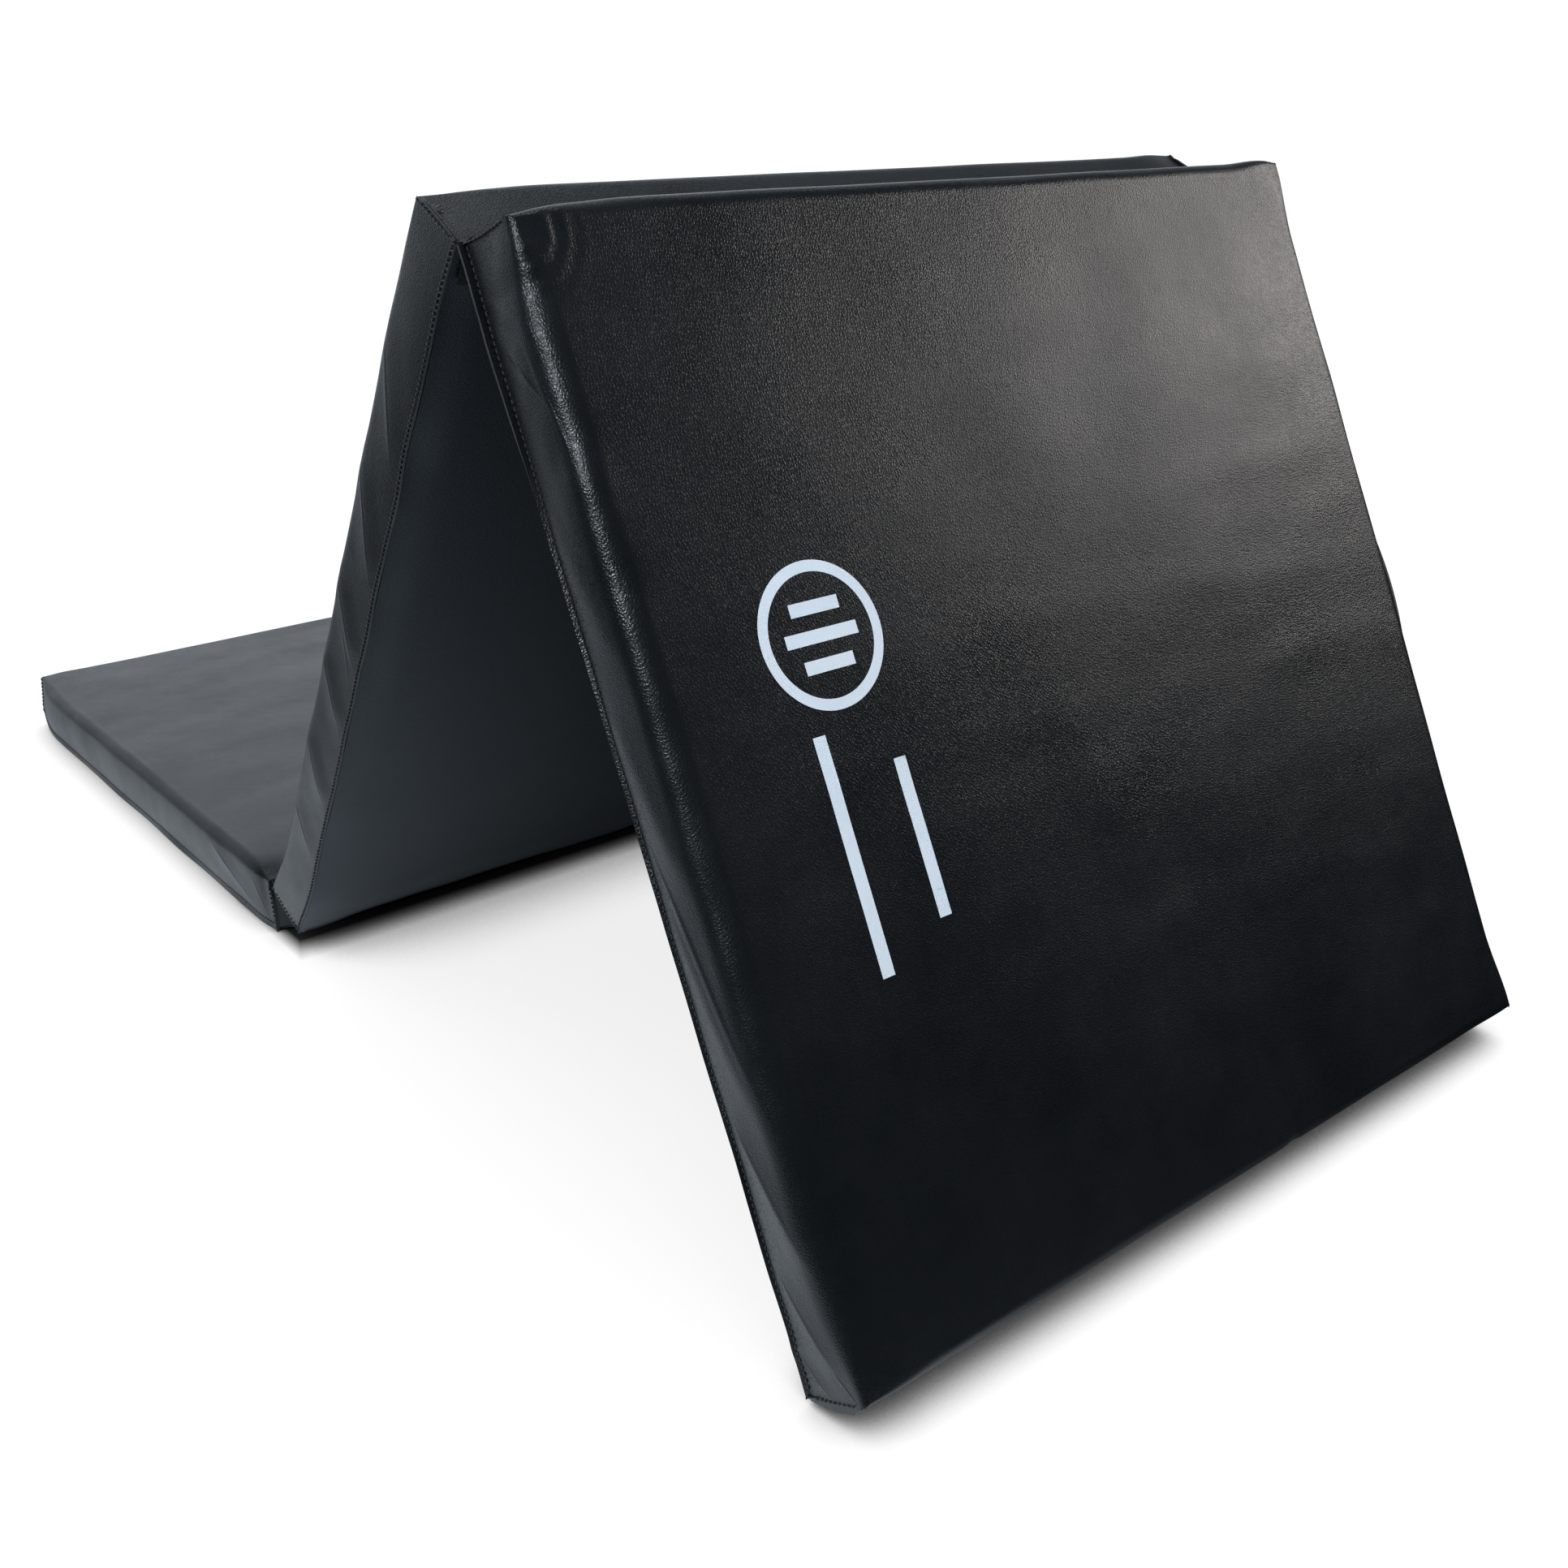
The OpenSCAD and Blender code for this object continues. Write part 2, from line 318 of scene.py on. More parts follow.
class Panel:
    """One padded panel in its own frame: x 0 to LENGTH, y about the middle, z 0 to THICK."""

    def __init__(self, name, radii, lips, lip_share, seam_z, tilt, shape):
        """Radii and lips are in mm for the start, the end and the two sides; the rest are functions."""
        self.name, self.lip_share, self.seam_z, self.tilt = name, lip_share, seam_z, tilt
        self.radius = {"start": radii[0] * MM, "end": radii[1] * MM, "side": radii[2] * MM}
        start, end, side = (width * MM for width in lips)
        self.lip_widths = {"start": start, "end": end, "near": side, "far": side}
        xs, x_drop, x_lean = side_nodes(LENGTH, self.radius["start"], self.radius["end"])
        ys, y_drop, y_lean = side_nodes(WIDTH, self.radius["side"], self.radius["side"])
        self.xs, self.ys = xs, ys - SIDE
        self.nx, self.ny = len(xs), len(ys)
        self.make_face(x_drop, x_lean, y_drop, y_lean)
        self.make_loop()
        self.make_strips()
        self.verts = self.base + self.normals * shape(self.base, self.normals)[:, None]
        self.verts = pull_corners(self.base, self.verts, name)
        self.sides = self.verts[self.strip_ids]

    def make_face(self, x_drop, x_lean, y_drop, y_lean):
        gx, gy = np.meshgrid(self.xs, self.ys, indexing="ij")
        dx, dy = np.meshgrid(x_drop, y_drop, indexing="ij")
        lx, ly = np.meshgrid(x_lean, y_lean, indexing="ij")
        lx, ly = np.where(dx >= dy, lx, 0), np.where(dy >= dx, ly, 0)
        norm = np.maximum(np.hypot(lx, ly), 1.0)
        lx, ly = lx / norm, ly / norm
        self.base = np.stack([gx, gy, THICK - np.maximum(dx, dy)], -1).reshape(-1, 3)
        up = np.sqrt(np.maximum(0, 1 - lx * lx - ly * ly))
        self.tighten_edges(self.base)
        self.normals = np.stack([lx, ly, up], -1).reshape(-1, 3)
        self.faces = grid_faces(self.nx, self.ny)

    def tighten_edges(self, base):
        """The soft edges get tighter towards the corners, where the seams meet in a point."""
        x, y, z = base.T
        from_end = np.minimum(x, LENGTH - x)
        from_side = SIDE - np.abs(y)
        share = 0.28 + 0.72 * smooth(np.maximum(from_end, from_side) / EASE_LENGTH)
        end_radius = np.where(x < LENGTH / 2, self.radius["start"], self.radius["end"])
        new_end = np.where(from_end < end_radius, from_end * share, from_end)
        new_side = np.where(from_side < self.radius["side"], from_side * share, from_side)
        base[:, 0] = np.where(x < LENGTH / 2, new_end, LENGTH - new_end)
        base[:, 1] = np.sign(y) * (SIDE - new_side)
        base[:, 2] = THICK - (THICK - z) * share

    def make_loop(self):
        """The face's border, anticlockwise from above, with each node's side directions."""
        nx, ny = self.nx, self.ny
        self.cells = border_cells(nx, ny)
        self.loop_at = {cell: k for k, cell in enumerate(self.cells)}
        self.corners = {(sx, sy): self.loop_at[((nx - 1) * (sx > 0), (ny - 1) * (sy > 0))]
                        for sx in (-1, 1) for sy in (-1, 1)}
        side, lips = [], []
        for i, j in self.cells:
            facing = [("start", (-1, 0), i == 0), ("end", (1, 0), i == nx - 1),
                      ("near", (0, -1), j == 0), ("far", (0, 1), j == ny - 1)]
            mine = [(name, np.array(v, float)) for name, v, on in facing if on]
            side.append(sum(v for _, v in mine) / math.sqrt(len(mine)))
            lips.append(sum(v * self.lip_widths[name] for name, v in mine))
        self.side, self.lip_xy = np.array(side), np.array(lips)
        x, y = np.array([(self.xs[i], self.ys[j]) for i, j in self.cells]).T
        self.lip_xy *= self.lip_share(x, y)[:, None]

    def make_strips(self):
        """Rows of vertices down the sides, from the face's border to the seam with the base sheet."""
        border = np.array([i * self.ny + j for i, j in self.cells])
        ids, count, size = [border], len(self.base), len(border)
        top = self.base[border]
        normal = np.column_stack([self.side, np.zeros(size)])
        self.normals[border] = normal
        for share in np.arange(1, STRIP_ROWS + 1) / STRIP_ROWS:
            level = top.copy()
            level[:, 2] = top[:, 2] * (1 - share) + self.seam_z(top) * share
            self.base = np.vstack([self.base, level])
            self.normals = np.vstack([self.normals, normal])
            ids.append(count + np.arange(size))
            count += size
        self.strip_ids = np.array(ids)
        for upper, lower in zip(ids[:-1], ids[1:]):
            self.faces += band(upper, lower)

    def lip_frames(self):
        """At each seam node: the lip's outward step, and the direction through its layers."""
        seam = self.sides[-1]
        angle = np.radians(self.tilt(seam))
        run = np.column_stack([self.lip_xy * np.cos(angle)[:, None],
                               -np.sin(angle) * np.linalg.norm(self.lip_xy, axis=1)])
        through = np.column_stack([-self.side * np.sin(angle)[:, None], -np.cos(angle)])
        return seam, run, through

    def mark_strips(self, obj):
        """Stores each vertex's place along and up the near strip, for the material's fine creases."""
        along, across = unrolled(self.base)["near"]
        near_side = np.clip(-self.normals[:, 1], 0, 1)
        marks = np.zeros((2, len(obj.data.vertices) // 2, 3), np.float32)
        marks[:, :len(self.base)] = np.column_stack([along, across, near_side])
        layer = obj.data.attributes.new("near_strip", "FLOAT_VECTOR", "POINT")
        layer.data.foreach_set("vector", marks.ravel())

    def add(self, part, shell, slot, *stands_for):
        """One of this panel's pieces; its name and its CAD nodes' names start with the panel's."""
        nodes = [f"{self.name}_{node}" for node in stands_for]
        return piece(f"{self.name}_{part}", shell, self.name, slot, *nodes)

    def build_cover(self):
        """The padded top, its sides and its half of the sewn lip, as one sheet."""
        seam, run, _ = self.lip_frames()
        faces = list(self.faces)
        lip = [seam + run * share for share in (0.12, 0.5, 1.0)]
        verts = add_rings(self.verts, faces, self.strip_ids[-1], lip)
        cover = self.add("padded_cover", thicken(verts, faces, SHEET), "cover_vinyl", "top_cover")
        self.mark_strips(cover)

    def layer_gap(self, seam):
        """How far the base seam's two edges stand apart; the front panel's part near the apex."""
        parted = (1 - smooth((seam[:, 0] - TURN_OUT) / (70 * MM))) * (self.name == "front_panel")
        return LAYER_GAP + 0.75 * MM * parted

    def build_base(self, dome, seed):
        """The sheet over the panel's underside, sewn to the cover round its edge."""
        keep_x = sorted({*range(0, self.nx, 2), self.nx - 1})
        keep_y = sorted({*range(0, self.ny, 2), self.ny - 1})
        seam, run, through = self.lip_frames()
        edge = seam + through * (SHEET + self.layer_gap(seam))[:, None]
        gx, gy = np.meshgrid(self.xs[keep_x], self.ys[keep_y], indexing="ij")
        inward = np.minimum(np.minimum(gx, LENGTH - gx), SIDE - np.abs(gy))
        inward = smooth(inward / BASE_EASE)
        level = self.seam_z(np.stack([gx.ravel(), gy.ravel()], 1)).reshape(gx.shape) - 2 * SHEET
        z = level * (1 - inward) + inward * dome + inward * 0.35 * MM * waves(gx, gy, 0.13, seed)
        verts = np.stack([gx, gy, np.maximum(z, 0) if dome >= 0 else z], -1).reshape(-1, 3)
        verts = pull_corners(verts, verts, self.name)
        ring = border_cells(*gx.shape)
        nodes = [self.loop_at[keep_x[a], keep_y[b]] for a, b in ring]
        upper = [a * len(keep_y) + b for a, b in ring]
        verts[upper] = edge[nodes]
        faces = flipped(grid_faces(*gx.shape))
        lip = [edge[nodes] + run[nodes] * share for share in (0.5, 1.0)]
        verts = add_rings(verts, faces, upper, lip, inside_out=True)
        self.add("underside", thicken(verts, faces, SHEET), "base_vinyl", "base_sheet")

    def corner_flange(self, column, facing, reach, slope, inset):
        """One of the two sewn edges at a corner seam, set inwards by inset."""
        sx, sy = facing
        rows = []
        for share in (-0.2, 0.1, 0.4, 0.7, 1.0):
            out = max(share, 0)
            step = column.copy()
            step[:, 0] += sx * reach * share
            step[:, 1] += sy * (out * reach * slope + 0.25 * MM - inset * min(1, out * 3))
            rows.append(step)
        faces = grid_faces(len(rows), len(column))
        return thicken(np.vstack(rows), flipped(faces) if sx * sy < 0 else faces, SHEET)

    def build_corner_lips(self, lip, lean):
        """Two sewn edges that stand out past the panel's ends at each upright corner seam."""
        parts, threads = [], []
        for (sx, sy), node in self.corners.items():
            column = self.sides[:, node]
            below_top = (column[0, 2] - column[:, 2]) / (8 * MM)
            uneven = 1 + 0.1 * waves(column[:, 2], column[:, 0], 0.03, 5 + sx + 3 * sy)
            reach = lip[sx] * (0.12 + 0.88 * smooth(below_top)) * uneven * (1.0 if sy < 0 else 0.6)
            reach = reach * (0.5 + 0.5 * smooth(column[:, 2] / (28 * MM)))
            slope = math.tan(math.radians(lean[sx]))
            for inset in (0, SHEET + FLANGE_GAP):
                parts.append(self.corner_flange(column, (sx, sy), reach, slope, inset))
            path = column[1:] + np.array([-sx * 0.5, sy * 0.35, 0]) * MM
            threads.append(stitch_run(path, STITCH_RADIUS, [(0, sy, 0)] * len(path)))
        self.add("corner_seams", join(parts), "cover_vinyl")
        self.add("corner_stitches", join(threads), "thread", "corner_stitching")

    def build_seam_stitches(self):
        """Stitches along the side strips, just above the seam with the base sheet."""
        nx, ny = self.nx, self.ny
        lines = {"near": [(i, 0) for i in range(nx)], "far": [(i, ny - 1) for i in range(nx)],
                 "start": [(0, j) for j in range(ny)], "end": [(nx - 1, j) for j in range(ny)]}
        runs = []
        for side, cells in lines.items():
            if self.lip_widths[side] > NARROW_LIP:
                ids = [self.loop_at[cell] for cell in cells]
                out = np.column_stack([self.side[ids], np.zeros(len(ids))])
                path = self.sides[-1][ids] + out * 0.2 * MM + np.array([0, 0, 1.5 * MM])
                runs.append(stitch_run(path, STITCH_RADIUS, out))
        self.add("seam_stitches", join(runs), "thread", "seam_stitching")

    def build_foam(self):
        """The foam slab inside: a box with soft, slightly uneven faces."""
        count, half_x, half_y = 24, LENGTH / 2 - FOAM_INSET, SIDE - FOAM_INSET
        gu, gv = np.meshgrid(np.linspace(-1, 1, count), np.linspace(-1, 1, count), indexing="ij")
        free = 1 - np.maximum(abs(gu), abs(gv)) ** 4
        ring = border_cells(count, count)
        verts, faces, rings = [], [], []
        for row, (z, shrink) in enumerate(FOAM_LAYERS):
            first, capped = len(verts), row in (0, len(FOAM_LAYERS) - 1)
            lump = 0.4 * MM * waves(gu * half_x, gv * half_y, 0.09, 31 + row) * free
            level = np.stack([LENGTH / 2 + gu * (half_x - shrink * MM), gv * (half_y - shrink * MM),
                              z * MM + lump], -1)
            cells = list(np.ndindex(count, count)) if capped else ring
            verts += [level[cell] for cell in cells]
            rings.append([first + cells.index(cell) for cell in ring])
            if capped:
                cap = grid_faces(count, count, first)
                faces += cap if row else flipped(cap)
        for lower, upper in zip(rings, rings[1:]):
            faces += band(upper, lower)
        verts = np.array(verts)
        self.add("foam_slab", (pull_corners(verts, verts, self.name), faces, ()), "foam", "foam_core")


def pull_corners(base, verts, name):
    """Seam tension moves the top or the foot of the upright corner seams, or the whole of one."""
    out = verts.copy()
    for (sx, sy), shift, reach, part in CORNER_PULLS[name]:
        corner = np.array([LENGTH * (sx > 0), sy * SIDE, 0 if part == "foot" else THICK])
        away = base - corner
        if part == "whole":
            away = away[:, :2]
        near = bell(np.linalg.norm(away, axis=1), reach * MM)
        out += near[:, None] * MM * np.array(shift)
    return out


def unrolled(base):
    """Distance along each side, and distance up from the seam over the soft edge, for the four sides."""
    x, y, z = base.T
    return {
        "near": (x, z + y + SIDE), "far": (x, z + SIDE - y),
        "start": (y + SIDE, z + x), "end": (y + SIDE, z + LENGTH - x),
    }


def common_shape(base, normals, crown, bulge, seed):
    """Crowned face, bulging sides and the slight unevenness of soft foam under a loose cover."""
    x, y, z = base.T
    u, v = 2 * x / LENGTH - 1, y / SIDE
    face = smooth((z - (THICK - 2 * MM)) / (2 * MM))
    lift = crown * MM * (1 - u ** 4) * (1 - v ** 4) * face
    facing = {"start": -normals[:, 0], "end": normals[:, 0], "near": -normals[:, 1], "far": normals[:, 1]}
    swell = sum(bulge[side] * MM * np.clip(share, 0, 1) for side, share in facing.items())
    height = np.sin(math.pi * np.clip(z / (THICK + 8 * MM), 0, 1))
    swell = swell * height * (1 - np.minimum(abs(u), abs(v)) ** 8)
    swell = swell - 0.8 * MM * (1 - face) * (1 - height) ** 2
    ripple = face * (0.30 * waves(x, y, 0.11, seed) + 0.12 * waves(x, y * 0.4, 0.035, seed + 1))
    loose = 0.55 - 0.35 * np.abs(normals[:, 0])
    ripple = ripple + (1 - face) * height * loose * waves(x + y, z, 0.085, seed + 2)
    return lift + swell + ripple * MM


def floor_shape(base, normals):
    """Two creases in the near side, and a face that sinks towards the far end of the hinge."""
    sides = unrolled(base)
    total = common_shape(base, normals, 0.9, {"start": 1.2, "end": 0.4, "near": 3.4, "far": 3.0}, 11)
    x, y, _ = base.T
    along, across = sides["near"]
    total += ridge(along, across, (40, 8), (120, 40), 14, 1.0)
    total += ridge(along, across, (470, 42), (560, 12), 12, 1.2)
    pressed = bell(SIDE - y, 70 * MM) * bell(LENGTH - x, 200 * MM)
    total -= 3.2 * MM * pressed * normals[:, 2]
    return total


def middle_shape(base, normals):
    """Slanting creases down both long sides."""
    sides = unrolled(base)
    total = common_shape(base, normals, 1.0, {"start": 0.4, "end": 0.3, "near": 1.6, "far": 2.6}, 23)
    along, across = sides["near"]
    for start, end, height in (((520, 44), (440, 12), 0.8), ((430, 45), (351, 9), 1.3),
                               ((333, 44), (279, 9), 1.5), ((263, 46), (218, 9), 1.6),
                               ((186, 46), (139, 8), 1.5), ((110, 45), (80, 12), 0.9)):
        total += ridge(along, across, start, end, 15, height, 1.2 * MM)
    along, across = sides["far"]
    for top, foot in ((120, 70), (230, 300), (350, 400), (480, 430)):
        total += ridge(along, across, (top, 50), (foot, 6), 18, 2.2)
    return total


def front_shape(base, normals):
    """The most handled panel: folds on every side but the apex, and puckers round its top near corner."""
    sides = unrolled(base)
    total = common_shape(base, normals, 3.2, {"start": 1.2, "end": 2.5, "near": 2.6, "far": 2.4}, 37)
    along, across = sides["near"]
    for start, end, width, height in (((34, 18), (66, 46), 5, 0.7), ((57, 15), (97, 40), 6, 0.6),
                                      ((130, 8), (230, 36), 9, 0.6), ((230, 6), (350, 40), 9, 0.8),
                                      ((330, 5), (466, 42), 9, 1.1), ((440, 6), (534, 42), 8, 1.1),
                                      ((520, 5), (588, 38), 7, 1.0), ((566, 2), (597, 24), 4, 0.8)):
        total += fold(along, across, start, end, width, height)
    x, y, _ = base.T
    dent = np.hypot(x - 9 * MM, y + SIDE + 3 * MM)
    rings = np.cos(2 * math.pi * (dent + 1.5 * MM * waves(x, y, 0.03, 83)) / (10.5 * MM))
    total += 0.95 * MM * normals[:, 2] ** 4 * rings * bell(dent - 22 * MM, 15 * MM)
    total += edge_wobble(base) + strip_crumple(base, normals)
    total += apex_edge_swell(base, normals, 2.6) * (x < LENGTH / 2)
    on_face = normals[:, 2] ** 4
    for start, end, width, height in FACE_FOLDS:
        total += on_face * fold(x, y + SIDE, start, end, width, height)
    along, across = sides["end"]
    total -= fold(along, across, (349, 34), (352, 64), 6, 1.0)
    along, across = sides["far"]
    for start, end in (((90, 10), (160, 44)), ((300, 44), (380, 10)), ((470, 8), (550, 44))):
        total += ridge(along, across, start, end, 16, 0.5)
    return total


# Faint folds on the front panel's face: start and end in mm from its top near corner, width, height
FACE_FOLDS = (((300, 250), (560, 330), 26, 0.7), ((505, 330), (590, 352), 5, -0.35),
              ((520, 356), (592, 366), 5, 0.3), ((430, 420), (560, 400), 12, 0.35),
              ((455, 455), (470, 540), 11, 0.35), ((420, 500), (545, 545), 12, 0.4),
              ((210, 330), (190, 560), 14, 0.35), ((260, 360), (275, 585), 12, 0.35),
              ((320, 420), (310, 590), 12, 0.3))


def apex_edge_swell(base, normals, amount):
    """The upper edge along the apex puffs out between its corners, which stay tied down."""
    from_corner = np.clip((SIDE - np.abs(base[:, 1])) / (36 * MM), 0, 1)
    free = 1 - (1 - from_corner) ** 2.5
    high = smooth((base[:, 2] - 0.7 * THICK) / (0.3 * THICK))
    side = np.clip(np.abs(normals[:, 0]), 0, 1) + 0.5 * normals[:, 2] * bell(base[:, 0], 25 * MM)
    return amount * MM * free * high * side


def edge_wobble(base):
    """The near soft edge of the front panel wanders in and out, most of all near the apex."""
    x, y, z = base.T
    from_edge = np.hypot(y + SIDE, z - THICK)
    near = bell(from_edge, 11 * MM)
    strength = 0.35 + 0.9 * bell(x, 130 * MM)
    still = np.zeros_like(x)
    wander = waves(x, still, 0.042, 77) + 0.7 * waves(x, still, 0.021, 78)
    return 1.0 * MM * near * strength * wander


def strip_crumple(base, normals):
    """Small crumples in the front panel's near side, gathered towards the apex."""
    x, _, z = base.T
    gathered = bell(x, 150 * MM) * np.clip(-normals[:, 1], 0, 1)
    between = np.sin(math.pi * np.clip(z / THICK, 0, 1))
    crumples = waves(x + 0.5 * z, z - 0.6 * x, 0.026, 88) + 0.6 * waves(x, z - x, 0.015, 89)
    return 0.42 * MM * gathered * between * crumples


# Each pull: corner, shift in mm, reach in mm, and the part of the upright corner seam that moves
CORNER_PULLS = {
    "floor_panel": (((-1, -1), (0, 7, 0.8), 45, "top"), ((-1, -1), (6, 2, 0), 22, "whole"),
                    ((-1, 1), (4, -3, 0), 26, "whole"), ((1, -1), (-14, 2, 0), 24, "whole"),
                    ((1, -1), (-5, 0, -7), 34, "top"), ((1, 1), (-3, -2, -2), 24, "top")),
    "middle_panel": (((-1, -1), (-12, 0.5, 0), 25, "whole"), ((-1, -1), (-1, 0, 6), 22, "foot"),
                     ((-1, -1), (-4, 0, 6), 22, "top"), ((-1, 1), (0, -2, -1), 24, "top"),
                     ((1, -1), (-3.5, 1, -4), 34, "top"), ((1, 1), (-2, -2, -1.5), 22, "top")),
    "front_panel": (((-1, -1), (5.5, 1.5, -1.5), 38, "top"), ((-1, 1), (0.5, 1.0, -0.5), 20, "top"),
                    ((1, -1), (-1, 1, -1), 24, "top"), ((1, 1), (0, -4, 0.3), 260, "whole")),
}


def floor_seam(place):
    """The floor panel's lower edge curls up off the floor at its outer end, most at the near corner."""
    x, y = place.T[:2]
    corner = 0.45 + 0.55 * bell(y + SIDE, 120 * MM)
    return 4.6 * MM + 10 * MM * bell(x, 27 * MM) * corner


def standing_seam(place):
    """The standing panels' seams wander a little up and down."""
    x, y = place.T[:2]
    return 3.8 * MM + 0.8 * MM * waves(x, y, 0.14, 91) + 0.5 * MM * waves(x, y, 0.055, 92)


def floor_lip_share(x, y):
    """The floor panel's lip dies away at its outer near corner."""
    return 1 - 0.85 * np.exp(-np.hypot(x, y + SIDE) / (45 * MM))


def even_lip_share(x, y):
    return np.ones_like(x)


def front_lip_share(x, y):
    """The near lip is widest where it leaves the apex."""
    near = y < MM - SIDE
    return np.where(near, 1 - 0.42 * smooth((x - 50 * MM) / (110 * MM)), 1)


def floor_tilt(seam):
    """Degrees by which a lip hangs below level."""
    return 78 + 14 * waves(*seam.T[:2], 0.11, 51)


def middle_tilt(seam):
    return 62 + 5 * waves(*seam.T[:2], 0.12, 52)


def front_tilt(seam):
    """The front panel's lip hangs, and turns outwards near the apex."""
    turned_out = 1 - smooth((seam[:, 0] - TURN_OUT) / (90 * MM))
    return 44 - 40 * turned_out + 8 * waves(*seam.T[:2], 0.12, 53)


panels = {
    "floor_panel": Panel("floor_panel", (8, 4, 8), (3.2, 0.9, 3.2), floor_lip_share, floor_seam,
                         floor_tilt, floor_shape),
    "middle_panel": Panel("middle_panel", (4, 9, 9), (0.9, 0.9, 1.6), even_lip_share, standing_seam,
                          middle_tilt, middle_shape),
    "front_panel": Panel("front_panel", (11, 7, 13), (0.9, 3.0, 3.9), front_lip_share, standing_seam,
                         front_tilt, front_shape),
}
DOMES = {"floor_panel": 0.0, "middle_panel": -0.4 * MM, "front_panel": -0.4 * MM}
# Width of the sewn edges past each panel's start (-1) and end (1), and their lean in degrees
FLANGES = {
    "floor_panel": ({-1: 1.6 * MM, 1: 1.2 * MM}, {-1: -4, 1: -4}),
    "middle_panel": ({-1: 1.2 * MM, 1: 2.0 * MM}, {-1: 7, 1: 5}),
    "front_panel": ({-1: 2.0 * MM, 1: 4.2 * MM}, {-1: -3, 1: -3}),
}

for number, (name, panel) in enumerate(panels.items()):
    panel.build_cover()
    panel.build_base(DOMES[name], 61 + number)
    panel.build_corner_lips(*FLANGES[name])
    panel.build_seam_stitches()
    panel.build_foam()


def build_thread_ends():
    """The loose ends of the corner seam's thread, left on the middle panel's apex end."""
    rng = np.random.default_rng(7)
    hairs = []
    for _ in range(9):
        start = np.array([LENGTH + 0.8 * MM, -SIDE + 0.8 * MM, rng.uniform(29, 33) * MM])
        reach = np.array([0.6, rng.uniform(3, 8), rng.uniform(-2, 6)]) * MM
        bend = np.array([0.7, rng.uniform(-1, 1), rng.uniform(-1, 1)]) * MM
        t = np.linspace(0, 1, 7)[:, None]
        hairs.append(tube(start + reach * t + bend * np.sin(math.pi * t), 0.40 * MM, sides=5))
    verts, faces, rims = join(hairs)
    shell = (pull_corners(verts, verts, "middle_panel"), faces, rims)
    piece("middle_panel_thread_ends", shell, "middle_panel", "thread")


build_thread_ends()


# ---- hinge strips

HINGE_INSET = 5 * MM
HINGE_STEPS = 90
LEAF = 24 * MM


def near_end(ys, shift):
    """A shift that fades away from the hinge's near end."""
    return shift * bell(ys + SIDE, 24 * MM)


def hinge_strip(name, bodies, paths, seed, near_shift):
    """A strip of cover sheet that runs down one leaf, round the hinge line and up the other leaf."""
    ys = np.linspace(-SIDE + HINGE_INSET, SIDE - HINGE_INSET, HINGE_STEPS)
    rows = []
    for body, points in zip(bodies, paths):
        for x, z in points:
            place = PANEL_FRAMES[body] @ Vector((x, 0, z))
            rows.append(np.column_stack([np.full_like(ys, place.x), ys, np.full_like(ys, place.z)]))
    verts = np.stack(rows)
    verts[:, :, 0] += 0.12 * MM * waves(ys, np.zeros_like(ys), 0.05, seed) + near_end(ys, near_shift)
    return link(name, thicken(verts.reshape(-1, 3), grid_faces(len(rows), len(ys)), SHEET))


def leaf_stitches(x, z, outward, near_shift=0.0):
    """A row of stitches across a leaf, at x and z in its panel's frame."""
    ys = np.linspace(-SIDE + 3 * HINGE_INSET, SIDE - 3 * HINGE_INSET, HINGE_STEPS)
    path = np.column_stack([x + near_end(ys, near_shift), ys, np.full_like(ys, z)])
    return stitch_run(path, 0.2 * MM, [outward] * len(path), radius=0.28 * MM)


def build_hinge(name, bodies, paths, seams, seed, near_shift=0.0):
    """A strip round its joint's hinge line, and the stitches that hold it to a panel on each side."""
    sides = [body.split("_")[0] for body in bodies]
    strip = hinge_strip(f"{name}_hinge_strip", bodies, paths, seed, near_shift)
    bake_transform(strip)
    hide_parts(*[f"{name}_hinge_{side}_leaf" for side in sides])
    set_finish(strip, "cover_vinyl")
    for body, side, seam in zip(bodies, sides, seams):
        piece(f"{name}_hinge_{side}_stitches", leaf_stitches(*seam), body, "thread",
              f"{name}_hinge_{side}_stitching")


def mirrored(points):
    """The other leaf's points, from the hinge line outwards or back."""
    return [(LENGTH - x, z) for x, z in reversed(points)]


def build_rear_hinge():
    """Its leaves lie on the two end faces that meet behind the wedge."""
    out = 1.1 * MM
    floor_path = [(LENGTH + 0.3 * MM, THICK - LEAF)]
    for share in (0.75, 0.5, 0.3, 0.15, 0.06):
        floor_path.append((LENGTH + out - 0.4 * MM, THICK - share * LEAF))
    seams = ((LENGTH + out, THICK - LEAF + 4 * MM, (1, 0, 0), -13 * MM),
             (-out, THICK - LEAF + 6.5 * MM, (-1, 0, 0), -10 * MM))
    build_hinge("rear", ("floor_panel", "middle_panel"),
                (floor_path, mirrored(floor_path)), seams, 71, -11 * MM)


def hinge_level(distance):
    """Height of a standing panel's base sheet at a distance in from its end."""
    inward = float(smooth(distance / BASE_EASE))
    return 1.4 * MM * (1 - inward) - 0.4 * MM * inward


def build_apex_hinge():
    """Its leaves lie on the two base sheets that meet under the apex."""
    out = 0.5 * MM
    front_path = []
    for share in (0.04, 0.15, 0.3, 0.5, 0.75, 1):
        front_path.append((share * LEAF, hinge_level(share * LEAF) - out))
    z = -0.4 * MM - out - 0.2 * MM
    seams = ((LENGTH - LEAF + 4 * MM, z, (0, 0, -1)), (LEAF - 6.5 * MM, z, (0, 0, -1)))
    build_hinge("apex", ("middle_panel", "front_panel"),
                (mirrored(front_path), front_path), seams, 72)


build_rear_hinge()
build_apex_hinge()


# ---- carrying handles

STRAP_THICK = 1.9 * MM
STRAP_FACE = SIDE + 2.1 * MM + STRAP_THICK
